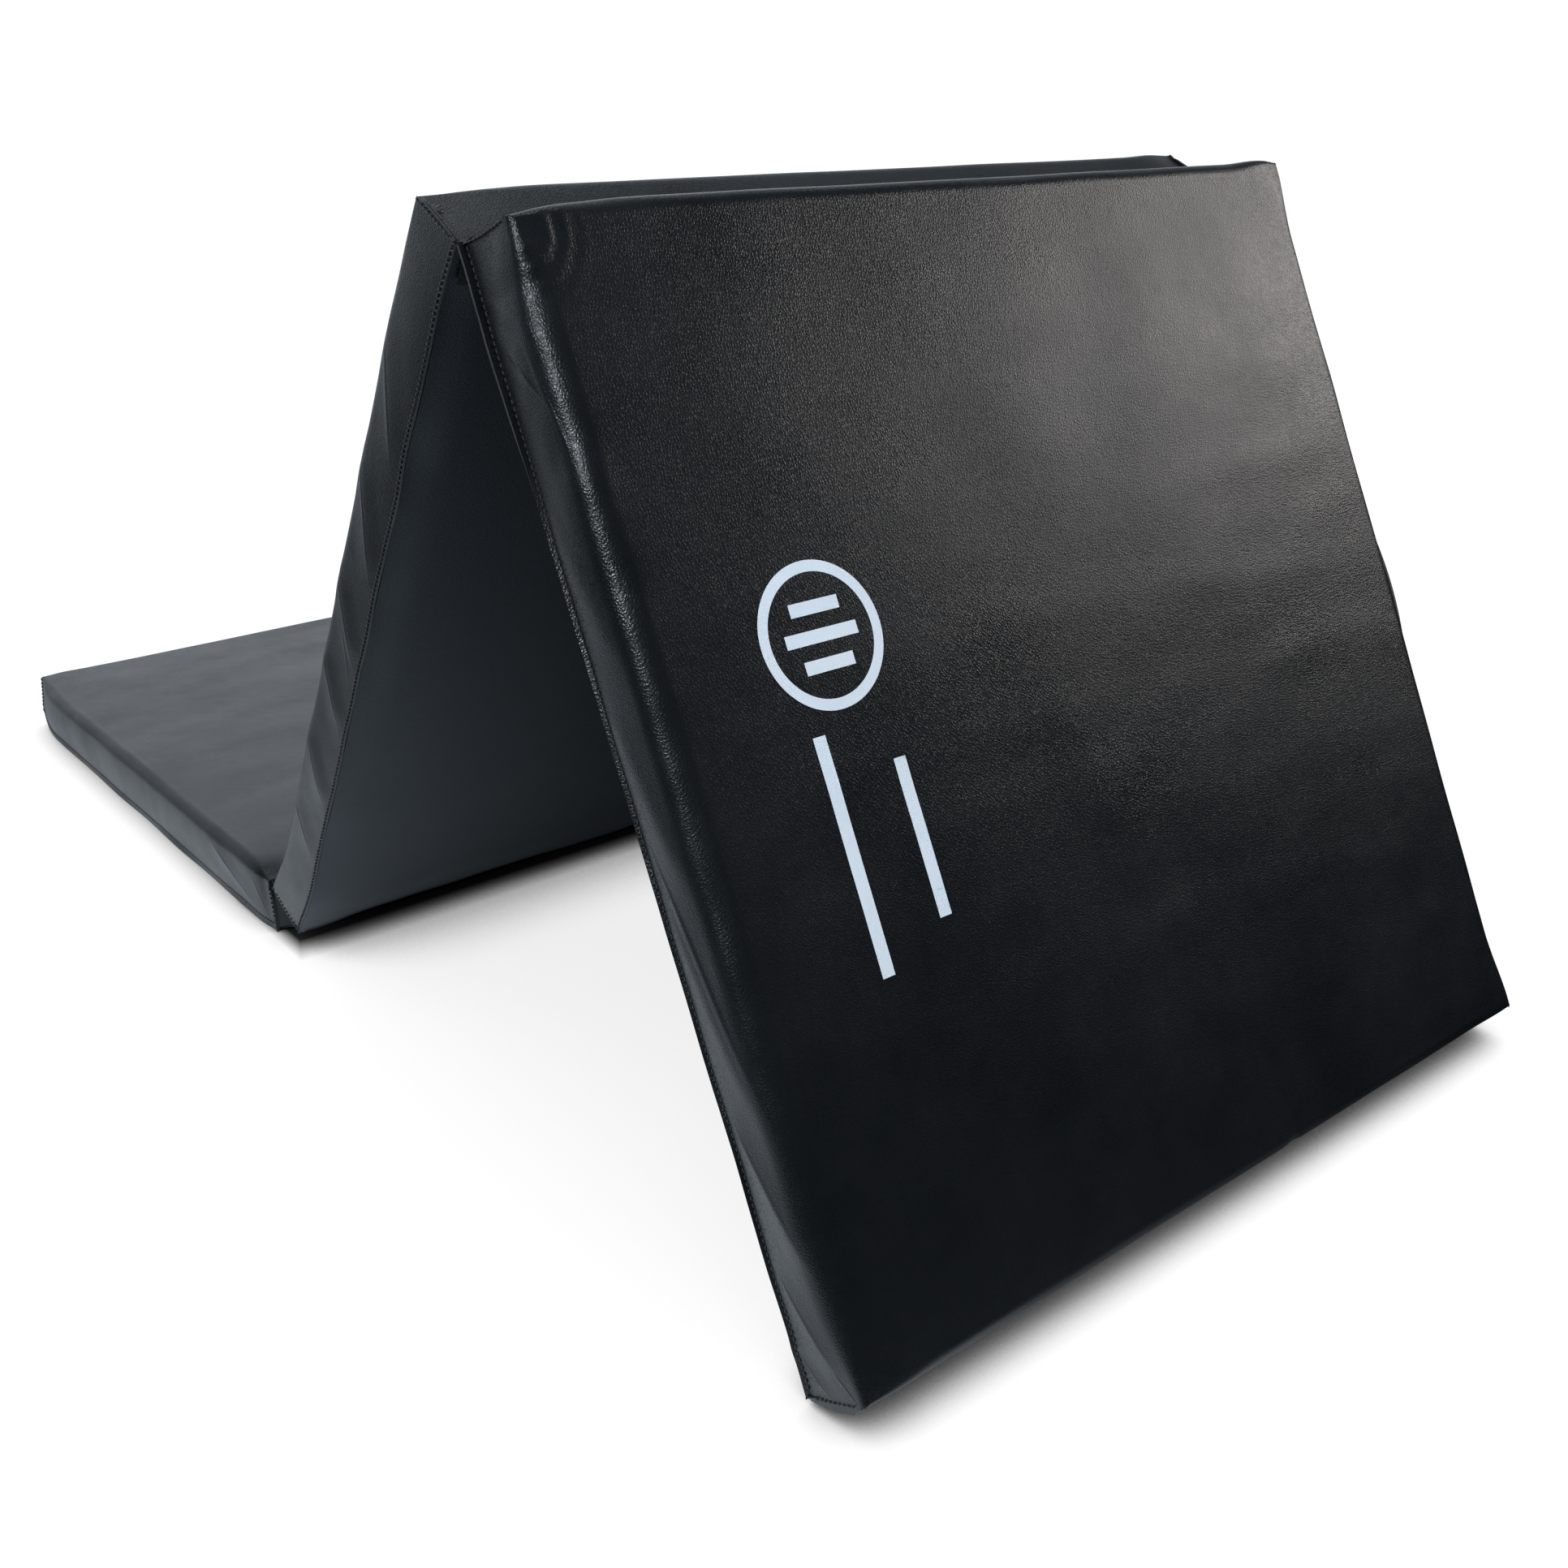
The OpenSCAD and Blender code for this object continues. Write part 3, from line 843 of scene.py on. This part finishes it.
# The box stitch: four sides and two diagonals, between corners of a square
BOX_STITCH = (((-1, -1), (1, -1)), ((1, -1), (1, 1)), ((1, 1), (-1, 1)), ((-1, 1), (-1, -1)),
              ((-1, -1), (1, 1)), ((1, -1), (-1, 1)))


def local_box(node, body):
    """A CAD node's corners in a panel's own frame."""
    back = PANEL_FRAMES[body].inverted()
    points = np.array([back @ v.co for v in frame["nodes"][node].data.vertices])
    return points.min(0), points.max(0)


def handle_path(half_total, half_loop, rise):
    """Centre line of a webbing strap: flat sewn ends and a bow between them."""
    radius = (half_loop ** 2 + rise ** 2) / (2 * rise)
    flat = np.linspace(half_loop + 6 * MM, half_total, 9)
    u = np.concatenate([-flat[::-1], np.linspace(-half_loop, half_loop, 61), flat])
    bow = np.sqrt(np.maximum(radius ** 2 - np.minimum(abs(u), half_loop) ** 2, 0)) - (radius - rise)
    v = np.where(abs(u) < half_loop, bow, 0)
    return u, np.convolve(np.pad(v, 2, mode="edge"), [0.1, 0.2, 0.4, 0.2, 0.1], mode="valid")


def build_handle(prefix, body):
    """A strap in two halves, each bending from its sewn end into the loop, and its box stitches."""
    low, high = local_box(f"{prefix}_handle_sewn_ends", body)
    loop_low, loop_high = local_box(f"{prefix}_handle_loop", body)
    middle, depth, web = (low[0] + high[0]) / 2, (low[2] + high[2]) / 2, high[2] - low[2]
    half_total, half_cut = (high[0] - low[0]) / 2, (loop_high[0] - loop_low[0]) / 2
    half_loop = half_cut + 14 * MM
    u, v = handle_path(half_total, half_loop, loop_high[1] - SIDE - STRAP_THICK)
    across = np.linspace(-web / 2, web / 2, 9)
    cup = 0.5 * MM * (abs(across) / (web / 2)) ** 3
    for side, sign, node in (("rear", -1, "sewn_ends"), ("front", 1, "loop")):
        half = sign * u >= -1e-9
        verts = [(middle + a, STRAP_FACE + b - d, depth + c)
                 for a, b in zip(u[half], v[half]) for c, d in zip(across, cup)]
        shell = thicken(verts, grid_faces(int(half.sum()), len(across)), STRAP_THICK)
        strap = link(f"{prefix}_handle_strap_{side}", shell, PANEL_FRAMES[body])
        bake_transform(strap)
        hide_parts(f"{prefix}_handle_{node}")
        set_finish(strap, "webbing")
    build_box_stitches(prefix, body, middle, depth, (half_total + half_loop) / 2 + 2 * MM,
                       (half_total - half_loop) * 0.33, web * 0.34)


def build_box_stitches(prefix, body, middle, depth, away, half_length, half_width):
    """Crossed boxes of stitches on a strap's two sewn ends."""
    runs = []
    for sign in (-1, 1):
        for line in BOX_STITCH:
            a, b = (np.array([middle + sign * away + x * half_length, STRAP_FACE, depth + z * half_width])
                    for x, z in line)
            path = a + (b - a) * np.linspace(0, 1, 12)[:, None]
            runs.append(stitch_run(path, 0.35 * MM, [(0, 1, 0)] * 12, pitch=2.9 * MM, length=2.2 * MM))
    piece(f"{prefix}_handle_stitches", join(runs), body, "thread", f"{prefix}_handle_stitching")


build_handle("floor", "floor_panel")
build_handle("front", "front_panel")


# ---- printed figure on the front panel

def face_heights(panel):
    """Height of a panel's crowned face over its own x and y, as a lookup."""
    grid = panel.verts[:panel.nx * panel.ny].reshape(panel.nx, panel.ny, 3)

    def height(x, y):
        fx = np.interp(x, panel.xs, np.arange(panel.nx))
        fy = np.interp(y, panel.ys, np.arange(panel.ny))
        i, j = np.minimum(fx.astype(int), panel.nx - 2), np.minimum(fy.astype(int), panel.ny - 2)
        a, b = fx - i, fy - j
        z = grid[:, :, 2]
        return ((1 - a) * (1 - b) * z[i, j] + a * (1 - b) * z[i + 1, j]
                + (1 - a) * b * z[i, j + 1] + a * b * z[i + 1, j + 1])
    return height


def film_patch(points, rows, cols, height, wrap=False):
    """A thin film over a grid of points on the face."""
    z = height(points[:, 0], points[:, 1]) + 0.28 * MM
    return thicken(np.column_stack([points, z]), grid_faces(rows, cols, wrap=wrap), 0.18 * MM)


def rectangle_patch(x0, x1, y0, y1, height):
    step = 2.5 * MM
    xs = np.linspace(x0, x1, max(3, round(abs(x1 - x0) / step)))
    ys = np.linspace(y0, y1, max(3, round(abs(y1 - y0) / step)))
    gx, gy = np.meshgrid(xs, ys, indexing="ij")
    return film_patch(np.column_stack([gx.ravel(), gy.ravel()]), len(xs), len(ys), height)


def build_print():
    """A plain ring with three bars, and two plain stripes beside it."""
    low, high = local_box("front_panel_print", "front_panel")
    height = face_heights(panels["front_panel"])
    outer = (high[1] - low[1]) / 2
    cx, cy = low[0] + outer, (low[1] + high[1]) / 2
    turn = np.linspace(0, 2 * math.pi, 96, endpoint=False)
    ring = np.concatenate([np.column_stack([cx + r * np.cos(turn), cy + r * np.sin(turn)])
                           for r in np.linspace(outer - 6 * MM, outer, 4)])
    parts = [film_patch(ring, 4, len(turn), height, wrap=True)]
    for row in (-1, 0, 1):
        middle, half = cx + row * 15 * MM, outer * 0.6 - abs(row) * 7.5 * MM
        parts.append(rectangle_patch(middle - 3.5 * MM, middle + 3.5 * MM, cy - half, cy + half, height))
    for x, y, length in ((88, 15, 126), (110, 61, 86)):
        x0, y0 = low[0] + x * MM, low[1] + y * MM
        parts.append(rectangle_patch(x0, x0 + length * MM, y0, y0 + 8 * MM, height))
    piece("front_panel_printed_figure", join(parts), "front_panel", "print_film", "front_panel_print")


build_print()


# ---- materials

class Graph:
    """A node tree, with short ways to add the nodes used here."""

    def __init__(self, tree, output, coordinates="Object"):
        tree.nodes.clear()
        self.tree = tree
        self.result = tree.nodes.new(output).inputs[0]
        self.place = self.node("TexCoord", {}, coordinates)

    def feed(self, socket, value):
        """Sets a socket to a number or a colour, or joins another node's output to it."""
        if isinstance(value, (int, float)):
            socket.default_value = value
        elif isinstance(value, tuple):
            socket.default_value = value if len(socket.default_value) == len(value) else (*value, 1)
        else:
            self.tree.links.new(value, socket)

    def node(self, kind, inputs, output=0, **settings):
        node = self.tree.nodes.new("ShaderNode" + kind)
        for key, value in settings.items():
            setattr(node, key, value)
        for key, value in inputs.items():
            self.feed(node.inputs[key], value)
        return node.outputs[output]

    def noise(self, scale, detail=3.0, rough=0.55, stretch=(1, 1, 1)):
        place = self.node("Mapping", {"Vector": self.place, "Scale": stretch})
        inputs = {"Vector": place, "Scale": scale, "Detail": detail, "Roughness": rough}
        return self.node("TexNoise", inputs, "Fac")

    def cells(self, scale, feature="DISTANCE_TO_EDGE"):
        inputs = {"Vector": self.place, "Scale": scale}
        return self.node("TexVoronoi", inputs, "Distance", feature=feature)

    def stripes(self, scale, distortion=0.0, direction="X"):
        inputs = {"Vector": self.place, "Scale": scale, "Distortion": distortion}
        return self.node("TexWave", inputs, "Fac", bands_direction=direction)

    def split(self, vector):
        node = self.tree.nodes.new("ShaderNodeSeparateXYZ")
        self.tree.links.new(vector, node.inputs[0])
        return node.outputs

    def spread(self, value, low, high, to_low=0.0, to_high=1.0):
        """Maps low to high onto to_low to to_high, clamped."""
        inputs = {"Value": value, "From Min": low, "From Max": high, "To Min": to_low, "To Max": to_high}
        return self.node("MapRange", inputs, "Result")

    def maths(self, operation, a, b):
        return self.node("Math", {0: a, 1: b}, operation=operation)

    def times(self, a, b):
        return self.maths("MULTIPLY", a, b)

    def plus(self, a, b):
        return self.maths("ADD", a, b)

    def blend(self, *parts):
        """Sum of values, each times its weight."""
        total = 0.0
        for value, weight in parts:
            total = self.plus(total, self.times(value, weight))
        return total

    def mix(self, factor, a, b):
        return self.node("Mix", {"Factor": factor, 6: a, 7: b}, 2, data_type="RGBA")

    def bump(self, height, distance, strength=1.0, after=None):
        inputs = {"Height": height, "Distance": distance, "Strength": strength}
        if after is not None:
            inputs["Normal"] = after
        return self.node("Bump", inputs, "Normal")

    def openness(self, distance):
        """Share of the sky a point sees within a distance."""
        return self.node("AmbientOcclusion", {"Distance": distance}, "AO", samples=12)

    def emission(self, strength, colour):
        return self.node("Emission", {"Color": colour, "Strength": strength})

    def for_rays(self, kind, shader, others):
        """One shader for a kind of ray, and another for the rest."""
        chosen = self.node("LightPath", {}, f"Is {kind} Ray")
        return self.node("MixShader", {0: chosen, 1: others, 2: shader})

    def finish(self, shader):
        self.tree.links.new(shader, self.result)

    def coat(self, colour, roughness, normal, **more):
        """Ends a material with one principled shader."""
        inputs = {"Base Color": colour, "Roughness": roughness, "Normal": normal}
        inputs.update({key.replace("_", " "): value for key, value in more.items()})
        self.finish(self.node("BsdfPrincipled", inputs))


def new_material(name):
    material = bpy.data.materials.new(name)
    material.use_nodes = True
    return material, Graph(material.node_tree, "ShaderNodeOutputMaterial")


def crease_height(g, creases):
    """Height of thin creases in the near side's strip; each runs between two places in mm."""
    along, across, on_side = g.split(g.node("Attribute", {}, "Vector", attribute_name="near_strip"))
    total = 0.0
    for (ax, ay), (bx, by), width in creases:
        length = math.hypot(bx - ax, by - ay) * MM
        ux, uy = (bx - ax) * MM / length, (by - ay) * MM / length
        x = g.maths("SUBTRACT", along, ax * MM)
        y = g.maths("SUBTRACT", across, ay * MM)
        run = g.plus(g.times(x, ux), g.times(y, uy))
        off = g.maths("SUBTRACT", g.times(x, uy), g.times(y, ux))
        fade = g.times(g.spread(run, 0, length * 0.3), g.spread(run, length, length * 0.6))
        crest = g.maths("POWER", math.exp(-1), g.maths("DIVIDE", g.times(off, off), (width * MM) ** 2))
        total = g.plus(total, g.times(crest, fade))
    return g.times(total, on_side)


# Creases of each cover's near side: start and end in mm along and up the strip, and width
CREASES = {
    "floor": (((470, 42), (560, 12), 2.0), ((556, 40), (584, 8), 1.4)),
    "middle": (((432, 50), (349, 9), 1.3), ((335, 50), (277, 9), 1.2), ((265, 51), (216, 9), 1.2),
               ((188, 52), (137, 8), 1.3), ((520, 50), (440, 14), 1.6), ((108, 50), (78, 10), 1.5),
               ((300, 30), (262, 10), 1.2)),
    "front": (((285, 4), (466, 47), 2.2), ((440, 6), (534, 44), 2.4), ((520, 5), (588, 40), 2.0),
              ((566, 2), (597, 24), 1.4), ((580, 34), (599, 46), 1.0), ((57, 15), (97, 40), 1.5),
              ((60, 34), (130, 44), 1.8)),
}


def leatherette(name, dark, light, roughness, grain=1.0, creases=(), tint=(1, 1, 1)):
    """Black coated cloth: pebbled grain, fine creases, and duller patches from handling."""
    material, g = new_material(name)
    patches = g.noise(9, 4, 0.6)
    smear = g.noise(26, 3, 0.5, stretch=(1, 0.45, 1))
    shade = g.blend((patches, 0.7), (g.noise(900, 2, 0.5), 0.3))
    worn = g.blend((patches, 0.42), (smear, 0.26), (g.noise(75, 6, 0.72), 0.32))
    normal = g.bump(g.noise(52, 4, 0.55), 0.35 * MM * grain, 0.32)
    if creases:
        normal = g.bump(crease_height(g, creases), 0.45 * MM, 0.9, normal)
    normal = g.bump(g.noise(120, 6, 0.68), 0.21 * MM * grain, 0.55, normal)
    normal = g.bump(g.spread(g.cells(620), 0.0, 0.35), 0.13 * MM * grain, 0.75, normal)
    colour = g.mix(g.spread(shade, 0.35, 0.68), dark, light)
    rough = g.spread(worn, 0.32, 0.68, roughness - 0.07, roughness + 0.09)
    g.coat(colour, rough, normal, Specular_IOR_Level=0.55, Specular_Tint=tint)
    return material


def thread_material():
    material, g = new_material("black_sewing_thread")
    shade = g.noise(300, 2)
    colour = g.mix(shade, (0.004, 0.004, 0.005), (0.016, 0.016, 0.018))
    twist = g.bump(g.stripes(900, 1.5), 0.1 * MM, 0.6)
    g.coat(colour, g.spread(shade, 0.2, 0.8, 0.5, 0.75), twist, Sheen_Weight=0.2)
    return material


def webbing_material():
    material, g = new_material("black_woven_webbing")
    weave = g.times(g.stripes(110, 0.4, "Z"), g.stripes(190))
    shade = g.noise(60, 3)
    colour = g.mix(g.blend((weave, 0.6), (shade, 0.4)), (0.006, 0.006, 0.007), (0.03, 0.031, 0.034))
    g.coat(colour, g.spread(shade, 0.2, 0.8, 0.6, 0.85), g.bump(weave, 0.5 * MM, 0.7), Sheen_Weight=0.35)
    return material


def foam_material():
    material, g = new_material("pale_closed_cell_foam")
    pores = g.cells(700, "F1")
    colour = g.mix(g.noise(20, 4), (0.56, 0.57, 0.54), (0.68, 0.69, 0.66))
    g.coat(colour, g.spread(pores, 0.0, 0.6, 0.95, 0.7), g.bump(pores, 0.4 * MM, 0.8))
    return material


def print_material():
    """Pale screen print, thin and slightly rubbed."""
    material, g = new_material("pale_screen_print")
    rubbed = g.noise(85, 6, 0.7, stretch=(1, 0.25, 1))
    pale = g.mix(g.noise(22, 3), (0.60, 0.71, 0.82), (0.71, 0.80, 0.90))
    colour = g.mix(g.spread(rubbed, 0.62, 0.7), pale, (0.10, 0.12, 0.15))
    g.coat(colour, g.spread(rubbed, 0.3, 0.7, 0.42, 0.6), g.bump(g.cells(620), 0.05 * MM, 0.5))
    return material


def raw_edge_material(name, dark, pale):
    """Cut edges of the cover: the backing cloth shows between two dark skins. The pale copy's colour is
    also partly a painted highlight where the cut edges catch the light.
    """
    material, g = new_material(name)
    fray = g.noise(420, 4, 0.7)
    g.coat(g.mix(fray, dark, pale), g.spread(fray, 0.3, 0.7, 0.5, 0.8), g.bump(fray, 0.2 * MM, 0.6))
    return material


def dress():
    """Gives every piece its material, and the sheets' cut edges a second one."""
    # The blue in both blacks is painted cool light bounced from the floor, and the base sheet's blue
    # specular tint is a painted cool reflection.
    black = ((0.0021, 0.0036, 0.0054), (0.0060, 0.0078, 0.0102))
    black_with_painted_blue_light = ((0.0020, 0.0036, 0.0060), (0.0045, 0.0070, 0.0105))
    chosen = {
        "cover_vinyl": leatherette("black_leatherette", *black, 0.315),
        "base_vinyl": leatherette("blue_black_base_sheet", *black_with_painted_blue_light, 0.38, 0.7, (), (0.78, 0.90, 1.0)),
        "thread": thread_material(), "foam": foam_material(),
        "print_film": print_material(), "webbing": webbing_material(),
    }
    covers = {}
    for name, roughness, grain in (("floor", 0.33, 1.0), ("middle", 0.33, 1.0), ("front", 0.30, 0.9)):
        material = leatherette(f"{name}_leatherette", *black, roughness, grain, CREASES[name])
        covers[f"{name}_panel_padded_cover"] = material
    # The pale cut edge is partly the backing cloth and partly a painted highlight; the dark copy is the
    # same edge without that highlight.
    pale_edge = raw_edge_material("raw_cut_edge", (0.16, 0.165, 0.17), (0.55, 0.56, 0.58))
    dark_edge = raw_edge_material("dark_cut_edge", (0.008, 0.009, 0.010), (0.045, 0.048, 0.052))
    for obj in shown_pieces():
        obj.data.materials.clear()
        obj.data.materials.append(covers.get(obj.name, chosen[obj["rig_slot"]]))
        if "vinyl" in obj["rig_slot"]:
            # The middle panel's cover and underside take the dark cut edge.
            takes_dark_edge = obj.name in ("middle_panel_padded_cover", "middle_panel_underside")
            obj.data.materials.append(dark_edge if takes_dark_edge else pale_edge)


dress()


# ---- floor, light and camera

# The floor is brightest in reflections along this line in front of the mat's near side
NEAR_SIDE = 0.33


def wedge_shade(g, x, y):
    """The floor is nearly black in the narrow gap under the middle panel's hanging edge."""
    gap = g.spread(x, REAR_AXIS.x + 8 * MM, REAR_AXIS.x + 40 * MM, 0.03, 1.0)
    beyond = g.spread(x, REAR_AXIS.x - 60 * MM, REAR_AXIS.x - 90 * MM)
    near = g.spread(y, 10 * MM - SIDE, -4 * MM - SIDE)
    far = g.spread(y, SIDE - 4 * MM, SIDE + 18 * MM)
    return g.maths("MAXIMUM", g.maths("MAXIMUM", gap, beyond), g.maths("MAXIMUM", near, far))


def floor_material():
    """White paper with contact shadows only; reflections see it bright close by and dim far off."""
    material, g = new_material("white_floor")
    x, y, _ = g.split(g.place)
    contact = g.spread(g.openness(0.045), 0.12, 0.72, 0.05, 1.0)
    sheltered = g.spread(g.openness(0.16), 0.1, 0.5, 0.02, 1.0)
    inside = g.spread(g.openness(0.5), 0.3, 0.8, 0.84, 1.06)
    shade = g.times(g.times(contact, sheltered), wedge_shade(g, x, y))
    seen = g.emission(g.times(shade, inside), (1, 1, 1))
    under = g.maths("MAXIMUM", g.plus(y, NEAR_SIDE), 0.0)
    outside = g.maths("MAXIMUM", g.maths("SUBTRACT", -NEAR_SIDE, y), 0.0)
    aside = g.plus(g.maths("DIVIDE", under, 0.17), g.maths("DIVIDE", outside, 0.32))
    glow = g.maths("POWER", math.exp(-1), aside)
    glow = g.times(glow, g.spread(x, 0.95, 1.15, 1.0, 0.12))
    glow = g.times(glow, g.spread(x, -0.5, 0.1, 0.6, 1.0))
    near = g.plus(glow, g.spread(x, -0.4, -2.2, 0.0, 0.4))
    mirrored = g.emission(g.times(near, sheltered), (0.82, 0.91, 1.0))
    paper = g.node("BsdfPrincipled", {"Base Color": (0.8, 0.8, 0.8), "Roughness": 0.9})
    g.finish(g.for_rays("Camera", seen, g.for_rays("Glossy", mirrored, paper)))
    return material


def build_floor():
    size = 14
    corners = [(-size, -size, 0), (size, -size, 0), (size, size, 0), (-size, size, 0)]
    floor = link("studio_floor", (corners, [(0, 1, 2, 3)], ()))
    floor.data.materials.append(floor_material())


def build_world():
    """White to the camera; to reflections, a bright wall behind the mat and a dim room elsewhere."""
    world = bpy.data.worlds.new("studio")
    bpy.context.scene.world = world
    world.use_nodes = True
    g = Graph(world.node_tree, "ShaderNodeOutputWorld", "Generated")
    inputs = {0: g.place, 1: (-0.94, 0.33, -0.12)}
    facing = g.node("VectorMath", inputs, "Value", operation="DOT_PRODUCT")
    wall = g.spread(facing, 0.45, 0.9, 0.06, 1.05)
    room = g.node("Background", {"Color": (0.86, 0.93, 1.0), "Strength": wall})
    white = g.node("Background", {"Color": (1, 1, 1), "Strength": 1.05})
    g.finish(g.for_rays("Camera", white, room))


def area_light(name, place, target, size, power, colour=(1, 1, 1), glossy=True):
    data = bpy.data.lights.new(name, "AREA")
    data.shape = "RECTANGLE"
    data.size, data.size_y = size
    data.energy, data.color = power, colour
    light = bpy.data.objects.new(name, data)
    light.location = place
    light.rotation_mode = "QUATERNION"
    light.rotation_quaternion = (Vector(target) - Vector(place)).to_track_quat("-Z", "Y")
    light.visible_glossy, light.visible_camera = glossy, False
    bpy.context.scene.collection.objects.link(light)


def build_lights():
    area_light("floor_fill", (-0.2, 0.2, 3.0), (-0.2, 0.2, 0), (5.0, 5.0), 190, glossy=False)
    area_light("back_softbox", (1.62, 2.62, 1.55), (0.6, 0.1, 0.35), (1.5, 1.15), 22.5, (1.0, 0.95, 0.92))
    area_light("top_softbox", (0.2, -0.2, 2.4), (0.4, 0.0, 0.3), (1.2, 1.2), 8, (0.95, 0.97, 1.0))
    area_light("edge_softbox", (1.34, -2.12, 1.62), (0.66, -0.3, 0.48), (0.42, 0.42), 22,
               (0.86, 0.93, 1.0))
    view = bpy.context.scene.view_settings
    view.view_transform = "Standard"
    view.look = "None"


def build_camera():
    """Placed where the reference view was taken from: up and to the right of the A-frame's near side."""
    azimuth, elevation = math.radians(140.676), math.radians(-23.22)
    level = math.cos(elevation)
    ahead = Vector((level * math.cos(azimuth), level * math.sin(azimuth), math.sin(elevation)))
    data = bpy.data.cameras.new("camera")
    data.sensor_width, data.lens = 36, 38.18
    camera = bpy.data.objects.new("camera", data)
    camera.location = (1.420, -0.7185, 0.6163)
    camera.rotation_mode = "QUATERNION"
    camera.rotation_quaternion = ahead.to_track_quat("-Z", "Y")
    bpy.context.scene.collection.objects.link(camera)
    bpy.context.scene.camera = camera


build_floor()
build_world()
build_lights()
build_camera()
